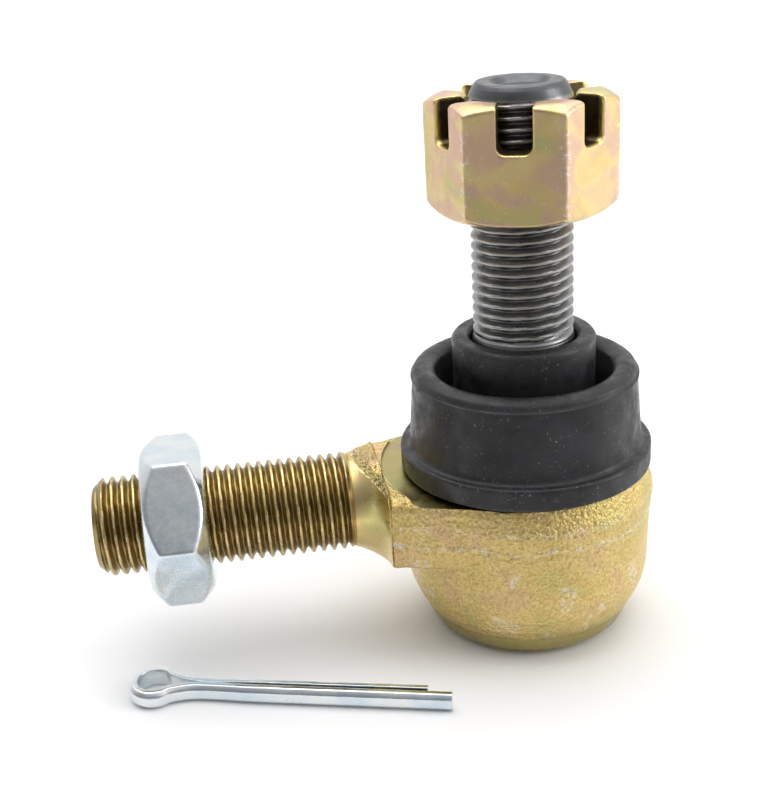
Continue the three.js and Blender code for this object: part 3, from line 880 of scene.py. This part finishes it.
def inner_pieces():
    upper_top = 17.9
    lower_floor = 6.5
    install(ring_piece("upper_seat", [
        (SEAT_RADIUS, BALL_Z + 0.15, 0.2), (SEAT_RADIUS, upper_top, 0.4), (8.03, upper_top, 0.3),
        *socket_arc(31.0, 1.0, 14),
    ], ACETAL), "housing", "upper_bearing_seat")
    install(ring_piece("lower_seat", [
        (SEAT_RADIUS, BALL_Z - 0.15, 0.2), *socket_arc(-1.0, -39.0, 16),
        (6.92, lower_floor, 0.2), (SEAT_RADIUS, lower_floor, 0.4),
    ], ACETAL), "housing", "lower_bearing_seat")
    seat_ring = ring_piece("spring_seat_ring", box_ring(7.4, 11.3, 5.3, 6.2, 0.12), SPRING_STEEL)
    install(seat_ring, "housing", "spring_seat")
    install(ring_piece("disc_spring", [
        (9.7, 3.7, 0.1), (9.7, 4.2, 0.1), (7.4, 5.0, 0.1), (7.4, 4.5, 0.1),
    ], SPRING_STEEL), "housing", "preload_spring")
    install(ring_piece("cover_o_ring", [
        (10.7 + 0.7 * math.cos(a), 4.2 + 0.7 * math.sin(a)) for a in np.linspace(0, TAU, 24, endpoint=False)
    ], SEAL_RUBBER), "housing", "cover_seal")

    plate = rounded([
        (0.4, 0.35), (2.2, 0.12, 3.0), (3.6, 0.0, 0.8), (7.6, 0.0, 1.0), (8.6, 1.8, 0.7),
        (SEAT_RADIUS, 1.8, 0.3), (SEAT_RADIUS, 3.4, 0.3), (7.9, 3.4, 0.8), (6.9, 1.6, 0.9), (0.4, 1.6),
    ], closed=False)
    grid = spun(plate, 128)
    points, faces = capped_grid(grid, np.array([0, 0, 0.35]), np.array([0, 0, 1.6]))
    install(make_piece("cover_cap", points, faces, [COVER_STEEL]), "housing", "cover_plate")


# ---------------------------------------------------------------- boot

def dust_boot():
    b = SEAT_Z + 0.3
    outline = rounded([
        (11.7, b, 0.2), (15.2, b, 0.35), (15.2, 23.8, 0.45), (14.05, 23.95, 0.7), (13.75, 27.5, 6.0),
        (13.45, 32.3), (13.62, 32.36), (13.62, 32.52), (13.42, 32.62), (13.25, 33.25, 0.9), (12.1, 33.9, 1.4),
        (10.7, 33.3, 1.2), (10.2, 31.0, 1.5), (9.9, 28.2, 1.2), (9.2, 27.3, 0.5), (8.55, 28.2, 0.5),
        (8.45, 31.5, 6.0), (8.52, 36.9, 0.5), (8.1, COLLAR_TOP, 0.5), (6.75, COLLAR_TOP, 0.3),
        (6.35, 36.9, 0.3), (6.35, 35.9, 0.1), (7.6, 35.9, 0.2), (7.6, 32.9, 0.2), (6.35, 32.9, 0.1),
        (6.35, 29.4, 0.6), (8.3, 26.2, 1.0), (9.1, 25.5, 0.5), (10.4, 25.6, 0.8), (11.7, 24.9, 0.5),
        (11.7, 23.2, 0.1), (13.8, 23.2, 0.2), (13.8, 21.8, 0.2), (11.7, 21.8, 0.1),
    ])
    outline = subdivided(outline, 0.45)

    def sag(grid):
        """A slow waver, a moulding nub and a faintly uneven skin."""
        wave = noise_at(grid, 9.0, 21.0) * 0.07
        r = np.hypot(grid[..., 0], grid[..., 1])
        free = smoothstep(b + 0.6, b + 3.0, grid[..., 2]) * smoothstep(7.2, 8.2, r)
        scale = 1 + wave * free / r
        angle = np.arctan2(grid[..., 1], grid[..., 0])
        round_nub = (angle + math.radians(168)) / 0.025
        above_nub = (grid[..., 2] - 32.45) / 0.25
        nub = np.exp(-(round_nub**2)) * np.exp(-(above_nub**2))
        scale = scale + 0.25 * nub / r
        rough = noise_at(grid, 1.1, 22.0, 2) * 0.016 * smoothstep(7.2, 8.2, r)
        return np.concatenate([grid[..., :2] * (scale + rough / r)[..., None], grid[..., 2:]], -1)

    obj = grid_piece("rubber_boot", sag(spun(outline, 180)), [RUBBER], sharp=60)
    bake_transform(obj)
    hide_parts("dust_boot")


def boot_rings():
    flange = ring_piece("boot_flange_insert", box_ring(12.0, 13.5, 22.1, 22.9, 0.15), SPRING_STEEL)
    install(flange, "boot", "boot_base_ring")
    collar = ring_piece("boot_collar_insert", box_ring(6.6, 7.3, 33.2, 35.6, 0.12), SPRING_STEEL)
    install(collar, "collar", "boot_collar_ring")


# ---------------------------------------------------------------- ball stud

def ball_stud():
    columns = 96
    neck_radius = 4.5
    flat = math.asin(-6.4 / BALL_RADIUS)
    neck = math.acos(neck_radius / BALL_RADIUS)
    ball = [
        (BALL_RADIUS * math.cos(a), BALL_Z + BALL_RADIUS * math.sin(a))
        for a in np.linspace(flat, neck, 44)
    ]
    lower = plain_rows([
        (0.3, BALL_Z - 6.4), (5.4, BALL_Z - 6.4), *ball, (4.5, 21.0), (4.55, 23.4), (4.75, 24.4),
        (5.9, 29.4), (6.0, 30.2), (6.0, 37.1), (5.96, 37.2),
    ], columns)

    def cone(height):
        return np.minimum(THREAD_RADIUS + 0.1, 5.92 + (64.75 - height) * 0.46)

    body = threaded_rows(37.3, 65.2, columns, cone, start_fade=1.1, end_fade=0.4)
    cap = plain_rows(rounded([
        (5.7, 65.25), (5.28, STUD_TOP - 0.5, 0.3), (4.9, STUD_TOP, 0.35), (3.5, STUD_TOP, 0.5),
        (2.7, STUD_TOP - 0.7, 0.6), (0.3, STUD_TOP - 0.8),
    ], closed=False), columns)
    heights = np.concatenate([lower[0], body[0], cap[0]])
    radii = np.concatenate([lower[1], body[1], cap[1]])
    grid = rows_to_grid(heights, radii)
    nicks = noise_at(grid, 0.9, 31.0) * 0.012 * smoothstep(37, 39, heights)[:, None]
    grid[..., :2] *= (1 + nicks / np.maximum(radii, 1))[..., None]
    points, faces = capped_grid(grid, np.array([0, 0, BALL_Z - 6.4]), np.array([0, 0, STUD_TOP - 0.8]))
    obj = make_piece("stud", points, faces, [STUD_STEEL], sharp=40)

    half = 8.0
    bar = spun(np.array([(PIN_HOLE_RADIUS, -half), (PIN_HOLE_RADIUS, half)]), 40)
    points, faces = capped_grid(bar, np.array([0, 0, -half]), np.array([0, 0, half]))
    turn = Matrix.Rotation(math.radians(CASTLE_TURN + 30), 4, "Z") @ Matrix.Rotation(math.pi / 2, 4, "Y")
    points = points @ np.array(turn.to_3x3()).T + [0, 0, PIN_HOLE_Z]
    cut(obj, make_piece("hole_cutter", points, faces, []))
    obj.data.shade_smooth()
    obj.data.set_sharp_from_angle(angle=math.radians(40))
    return install(obj, "stud", "ball_stud")


# ---------------------------------------------------------------- nuts

def hex_radius(theta, first_corner, across, soft=0.22):
    """Distance from the axis to a hexagon's side, its corners slightly rounded."""
    result = None
    for k in range(6):
        normal = math.radians(first_corner + 30 + 60 * k)
        side = across / 2 / np.maximum(np.cos(theta - normal), 0.05)
        result = side if result is None else smooth_min(result, side, soft)
    return result


def nut_grid(length, first_corner, across, face_radius, slope):
    """A hexagon nut from 0 to length, its corners trimmed by a cone at both ends."""
    bore = THREAD_RADIUS + 0.14
    columns = 300
    theta = np.arange(columns) * TAU / columns
    hexagon = hex_radius(theta, first_corner, across)
    ease = 0.35
    z = np.concatenate([np.linspace(0, 1.6, 17), np.linspace(1.6, length - 1.6, 24)[1:-1],
                        np.linspace(length - 1.6, length, 17)])
    near_end = np.minimum(z, length - z)
    cone = face_radius + near_end / math.tan(math.radians(slope))
    rounding = -ease + np.sqrt(np.maximum(ease**2 - (ease - near_end) ** 2, 0))
    round_end = np.where(near_end < ease, rounding, 0)
    sides = np.broadcast_to(hexagon, (len(z), columns))
    outer = smooth_min(sides, cone[:, None], 0.35) + round_end[:, None]
    lead = 0.55
    inner = np.array([
        (7.9, length), (7.2, length), (bore + lead + 0.08, length), (bore + lead, length - 0.04),
        (bore, length - lead), (bore, length / 2), (bore, lead), (bore + lead, 0.04),
        (bore + lead + 0.08, 0.0), (7.2, 0.0), (7.9, 0.0),
    ])
    radii = np.concatenate([outer, np.repeat(inner[:, 0][:, None], columns, 1)])
    heights = np.concatenate([z, inner[:, 1]])
    return rows_to_grid(heights, radii)


def slot_cutter(angle):
    """A straight bar with a round-cornered bottom, as wide as a slot and longer than the nut."""
    section = rounded([
        (-SLOT_WIDTH / 2, SLOT_FLOOR, 0.9), (SLOT_WIDTH / 2, SLOT_FLOOR, 0.9),
        (SLOT_WIDTH / 2, CASTLE_HIGH + 3), (-SLOT_WIDTH / 2, CASTLE_HIGH + 3),
    ], step=25)
    count = len(section)
    rows = np.array([[(x, y, z) for y, z in section] for x in (-15.0, 15.0)])
    points = rows.reshape(-1, 3)
    ends = [list(range(count))[::-1], list(range(count, 2 * count))]
    faces = grid_faces(2, count, False).tolist() + ends
    turn = np.array(Matrix.Rotation(math.radians(angle), 3, "Z"))
    return make_piece("slot_cutter", points @ turn.T, faces, [])


def mark_slots(mesh):
    """Fills the nut's point attribute with the depth in mm, up to 1, from the flats into each slot: the mask
    of the painted highlight on the slots' rims and the painted shade inside them.
    """
    points = np.empty(len(mesh.vertices) * 3, np.float32)
    mesh.vertices.foreach_get("co", points)
    points = points.reshape(-1, 3) / MM
    wear = np.zeros(len(points), np.float32)
    for k in range(6):
        angle = math.radians(CASTLE_TURN + 30 + 60 * k)
        out = points[:, 0] * math.cos(angle) + points[:, 1] * math.sin(angle)
        across = np.abs(points[:, 1] * math.cos(angle) - points[:, 0] * math.sin(angle))
        inside = (out > 0) & (across < SLOT_WIDTH / 2 + 0.12) & (points[:, 2] > SLOT_FLOOR - 0.12)
        wear = np.where(inside, np.clip(CASTLE_FLATS / 2 - out, 0, 1), wear)
    attribute = mesh.attributes.new("wear", "FLOAT", "POINT")
    attribute.data.foreach_set("value", wear)


def dent(grid, beyond, seed, *dents):
    """Pushes a nut's outside in and out, by (size, depth) of each kind of dent."""
    push = sum(noise_at(grid, size, seed + k) * depth for k, (size, depth) in enumerate(dents))
    r = np.hypot(grid[..., 0], grid[..., 1])
    grid[..., :2] *= (1 + push / r * (r > beyond))[..., None]


def castle_nut():
    grid = nut_grid(CASTLE_HIGH - CASTLE_LOW, CASTLE_TURN, CASTLE_FLATS, 9.3, 28)
    grid[..., 2] += CASTLE_LOW
    dent(grid, 8.9, 41.0, (4.0, 0.035), (1.2, 0.010))
    obj = grid_piece("castle_nut_body", grid, [GOLD_NUT], sharp=40)
    for k in range(3):
        cut(obj, slot_cutter(CASTLE_TURN + 30 + 60 * k))
    soften(obj, GOLD_NUT)
    mark_slots(obj.data)
    return install(obj, "castle_nut", "castle_nut")


def jam_nut():
    grid = nut_grid(JAM_HIGH - JAM_LOW, 90 + JAM_TURN, JAM_FLATS, 8.33, 42)
    dent(grid, 8.3, 51.0, (4.5, 0.03), (1.3, 0.008))
    grid = np.stack([JAM_HIGH - grid[..., 2], grid[..., 1], grid[..., 0] + SHANK_Z], -1)
    obj = grid_piece("jam_nut_body", grid, [JAM_ZINC], sharp=40)
    return install(obj, "jam_nut", "jam_nut")


# ---------------------------------------------------------------- split pin

def between(a, b, at_a, at_b, t):
    return (at_b - t) / (at_b - at_a) * a + (t - at_a) / (at_b - at_a) * b


def spline(points, count):
    """A smooth line through points, sampled evenly along its length (centripetal Catmull-Rom)."""
    points = np.asarray(points, float)
    padded = np.vstack([2 * points[0] - points[1], points, 2 * points[-1] - points[-2]])
    dense = []
    for four in zip(padded, padded[1:], padded[2:], padded[3:]):
        gaps = [np.linalg.norm(b - a) ** 0.5 for a, b in zip(four, four[1:])]
        t0, t1, t2, t3 = 0.0, gaps[0], gaps[0] + gaps[1], gaps[0] + gaps[1] + gaps[2]
        for t in np.linspace(t1, t2, 24, endpoint=False):
            a1 = between(four[0], four[1], t0, t1, t)
            a2 = between(four[1], four[2], t1, t2, t)
            a3 = between(four[2], four[3], t2, t3, t)
            b1 = between(a1, a2, t0, t2, t)
            b2 = between(a2, a3, t1, t3, t)
            dense.append(between(b1, b2, t1, t2, t))
    dense.append(points[-1])
    dense = np.array(dense)
    length = np.concatenate([[0], np.cumsum(np.linalg.norm(np.diff(dense, axis=0), axis=1))])
    even = np.linspace(0, length[-1], count)
    return np.stack([np.interp(even, length, dense[:, k]) for k in range(2)], -1)


PIN = {
    "long": 31.6, "short": 28.7, "splay": 0.1, "gap": 0.13, "eye": 2.55, "eye_back": 3.6,
    "x": -43.82, "y": -10.97, "turn": -15.8,
}


def split_pin():
    """Flattened half-round wire bent into two legs and an eye, its flat side inside the bend."""
    middle = PIN["gap"] + PIN_WIRE / 2
    open_angle = 38
    eye = [
        (-PIN["eye_back"] + PIN["eye"] * math.cos(a), PIN["eye"] * math.sin(a))
        for a in np.radians(np.linspace(open_angle, 360 - open_angle, 15))
    ]
    splay = PIN["splay"] / PIN["long"]
    long_leg = [(x, -middle - splay * x) for x in np.linspace(PIN["long"], 0.9, 5)]
    short_leg = [(x, middle + splay * x) for x in np.linspace(0.9, PIN["short"], 5)]
    route = spline(long_leg + eye[::-1] + short_leg, 260)
    ahead = np.gradient(route, axis=0)
    ahead /= np.linalg.norm(ahead, axis=1)[:, None]
    # The eye is on the right of the route, so the flat side faces that way.
    inward = np.stack([ahead[:, 1], -ahead[:, 0]], -1)

    wire = PIN_WIRE
    section = rounded([
        (wire, 0.0, 0.12), (wire, 0.58 * wire, 0.35), (0.52 * wire, wire, 0.6),
        (-0.52 * wire, wire, 0.6), (-wire, 0.58 * wire, 0.35), (-wire, 0.0, 0.12),
    ])
    out_of_plane = section[:, 0]
    outward = section[:, 1] - wire / 2
    rows = []
    for point, side in zip(route, inward):
        in_plane = point[None, :] - side[None, :] * outward[:, None]
        rows.append(np.column_stack([in_plane, out_of_plane + PIN_WIRE]))
    grid = np.array(rows)
    dents = noise_at(grid, 2.5, 61.0) * 0.02 + noise_at(grid, 0.8, 62.0) * 0.006
    grid[..., 2] = np.clip(grid[..., 2] + dents, 0.0, 2 * PIN_WIRE)

    ends = (grid[0].mean(0), grid[-1].mean(0))
    points, faces = capped_grid(grid, *ends)
    turn = np.array(Matrix.Rotation(math.radians(PIN["turn"]), 3, "Z"))
    points = points @ turn.T + [PIN["x"], PIN["y"], 0]
    obj = make_piece("split_pin_wire", points, faces, [PIN_ZINC], sharp=48)
    return install(obj, "split_pin", "split_pin")


# ---------------------------------------------------------------- stage, light and camera

def matt_sheet(name, left, right, near, far, height, colour):
    """A flat sheet of paper for the studio, in metres."""
    mesh = bpy.data.meshes.new(name)
    corners = [(left, near, 0), (right, near, 0), (right, far, 0), (left, far, 0)]
    mesh.from_pydata(corners, [], [(0, 1, 2, 3)])
    paper = Finish(name, 0.0, 0.9, 0.1)
    paper.shader.inputs["Base Color"].default_value = (*colour, 1)
    mesh.materials.append(paper.material)
    sheet = bpy.data.objects.new(name, mesh)
    sheet.location.z = height
    bpy.context.scene.collection.objects.link(sheet)
    return sheet


def stage():
    reach = 6.0
    matt_sheet("floor", -reach, reach, -reach, reach, -0.00005, (0.93, 0.93, 0.935))


def soft_light(name, place, target, size, power):
    data = bpy.data.lights.new(name, "AREA")
    data.shape = "RECTANGLE"
    data.size, data.size_y = size
    data.energy = power
    light = bpy.data.objects.new(name, data)
    light.location = place
    light.rotation_euler = (Vector(target) - Vector(place)).to_track_quat("-Z", "Y").to_euler()
    bpy.context.scene.collection.objects.link(light)


def sky():
    """A white tent: bright behind, above and on the right, dark where the camera is."""
    world = bpy.data.worlds.new("studio")
    bpy.context.scene.world = world
    world.use_nodes = True
    nodes, links = world.node_tree.nodes, world.node_tree.links
    place = nodes.new("ShaderNodeTexCoord")
    facing = nodes.new("ShaderNodeVectorMath")
    facing.operation = "DOT_PRODUCT"
    links.new(place.outputs["Generated"], facing.inputs[0])
    facing.inputs[1].default_value = (0.24, 0.36, 0.30)
    shifted = nodes.new("ShaderNodeMath")
    shifted.operation = "ADD"
    shifted.inputs[1].default_value = 0.5
    links.new(facing.outputs["Value"], shifted.inputs[0])
    ramp = nodes.new("ShaderNodeValToRGB")
    links.new(shifted.outputs[0], ramp.inputs["Fac"])
    stops = ((0.10, 0.22), (0.38, 0.34), (0.52, 0.70), (0.75, 1.0))
    set_ramp(ramp, [(position, (value, value, value)) for position, value in stops])
    links.new(ramp.outputs["Color"], nodes["Background"].inputs["Color"])
    nodes["Background"].inputs["Strength"].default_value = 1.0


def grey_card(name, left, right, near, far, grey):
    """A grey card on the table: it darkens the flats that mirror it, and nothing else."""
    card = matt_sheet(name, left, right, near, far, 0.0004, (grey, grey, grey))
    card.visible_camera = False
    card.visible_diffuse = False
    card.visible_shadow = False
    card.visible_transmission = False


def lighting():
    sky()
    grey_card("front_card", -0.45, 0.16, -1.2, -0.045, 0.34)
    grey_card("back_left_card", -0.60, -0.05, 0.05, 0.60, 0.66)
    target = (-0.015, 0, 0.03)
    soft_light("top", (-0.10, 0.80, 3.2), target, (4.0, 3.4), 62)
    soft_light("right", (3.2, -0.9, 1.5), target, (1.6, 2.4), 38)
    bpy.context.scene.view_settings.view_transform = "Standard"


def camera():
    """A close camera, a little left of the housing and looking down on it."""
    target = Vector((-16.08, 0, 30.32)) * MM
    distance = 151.04 * MM
    azimuth = math.radians(-6.90)
    elevation = math.radians(22.70)
    roll = math.radians(-3.27)
    level = math.cos(elevation)
    back = Vector((math.sin(azimuth) * level, -math.cos(azimuth) * level, math.sin(elevation)))
    data = bpy.data.cameras.new("camera")
    data.sensor_width = 36
    data.lens = 1269.0 * data.sensor_width / 800
    data.clip_start = 0.01
    obj = bpy.data.objects.new("camera", data)
    look = (-back).to_track_quat("-Z", "Y").to_matrix().to_4x4()
    obj.matrix_world = Matrix.Translation(target + back * distance) @ look @ Matrix.Rotation(roll, 4, "Z")
    bpy.context.scene.collection.objects.link(obj)
    bpy.context.scene.camera = obj


# ---------------------------------------------------------------- build

stage()
lighting()
camera()
housing_forging()
housing_shank()
inner_pieces()
dust_boot()
boot_rings()
ball_stud()
castle_nut()
jam_nut()
split_pin()
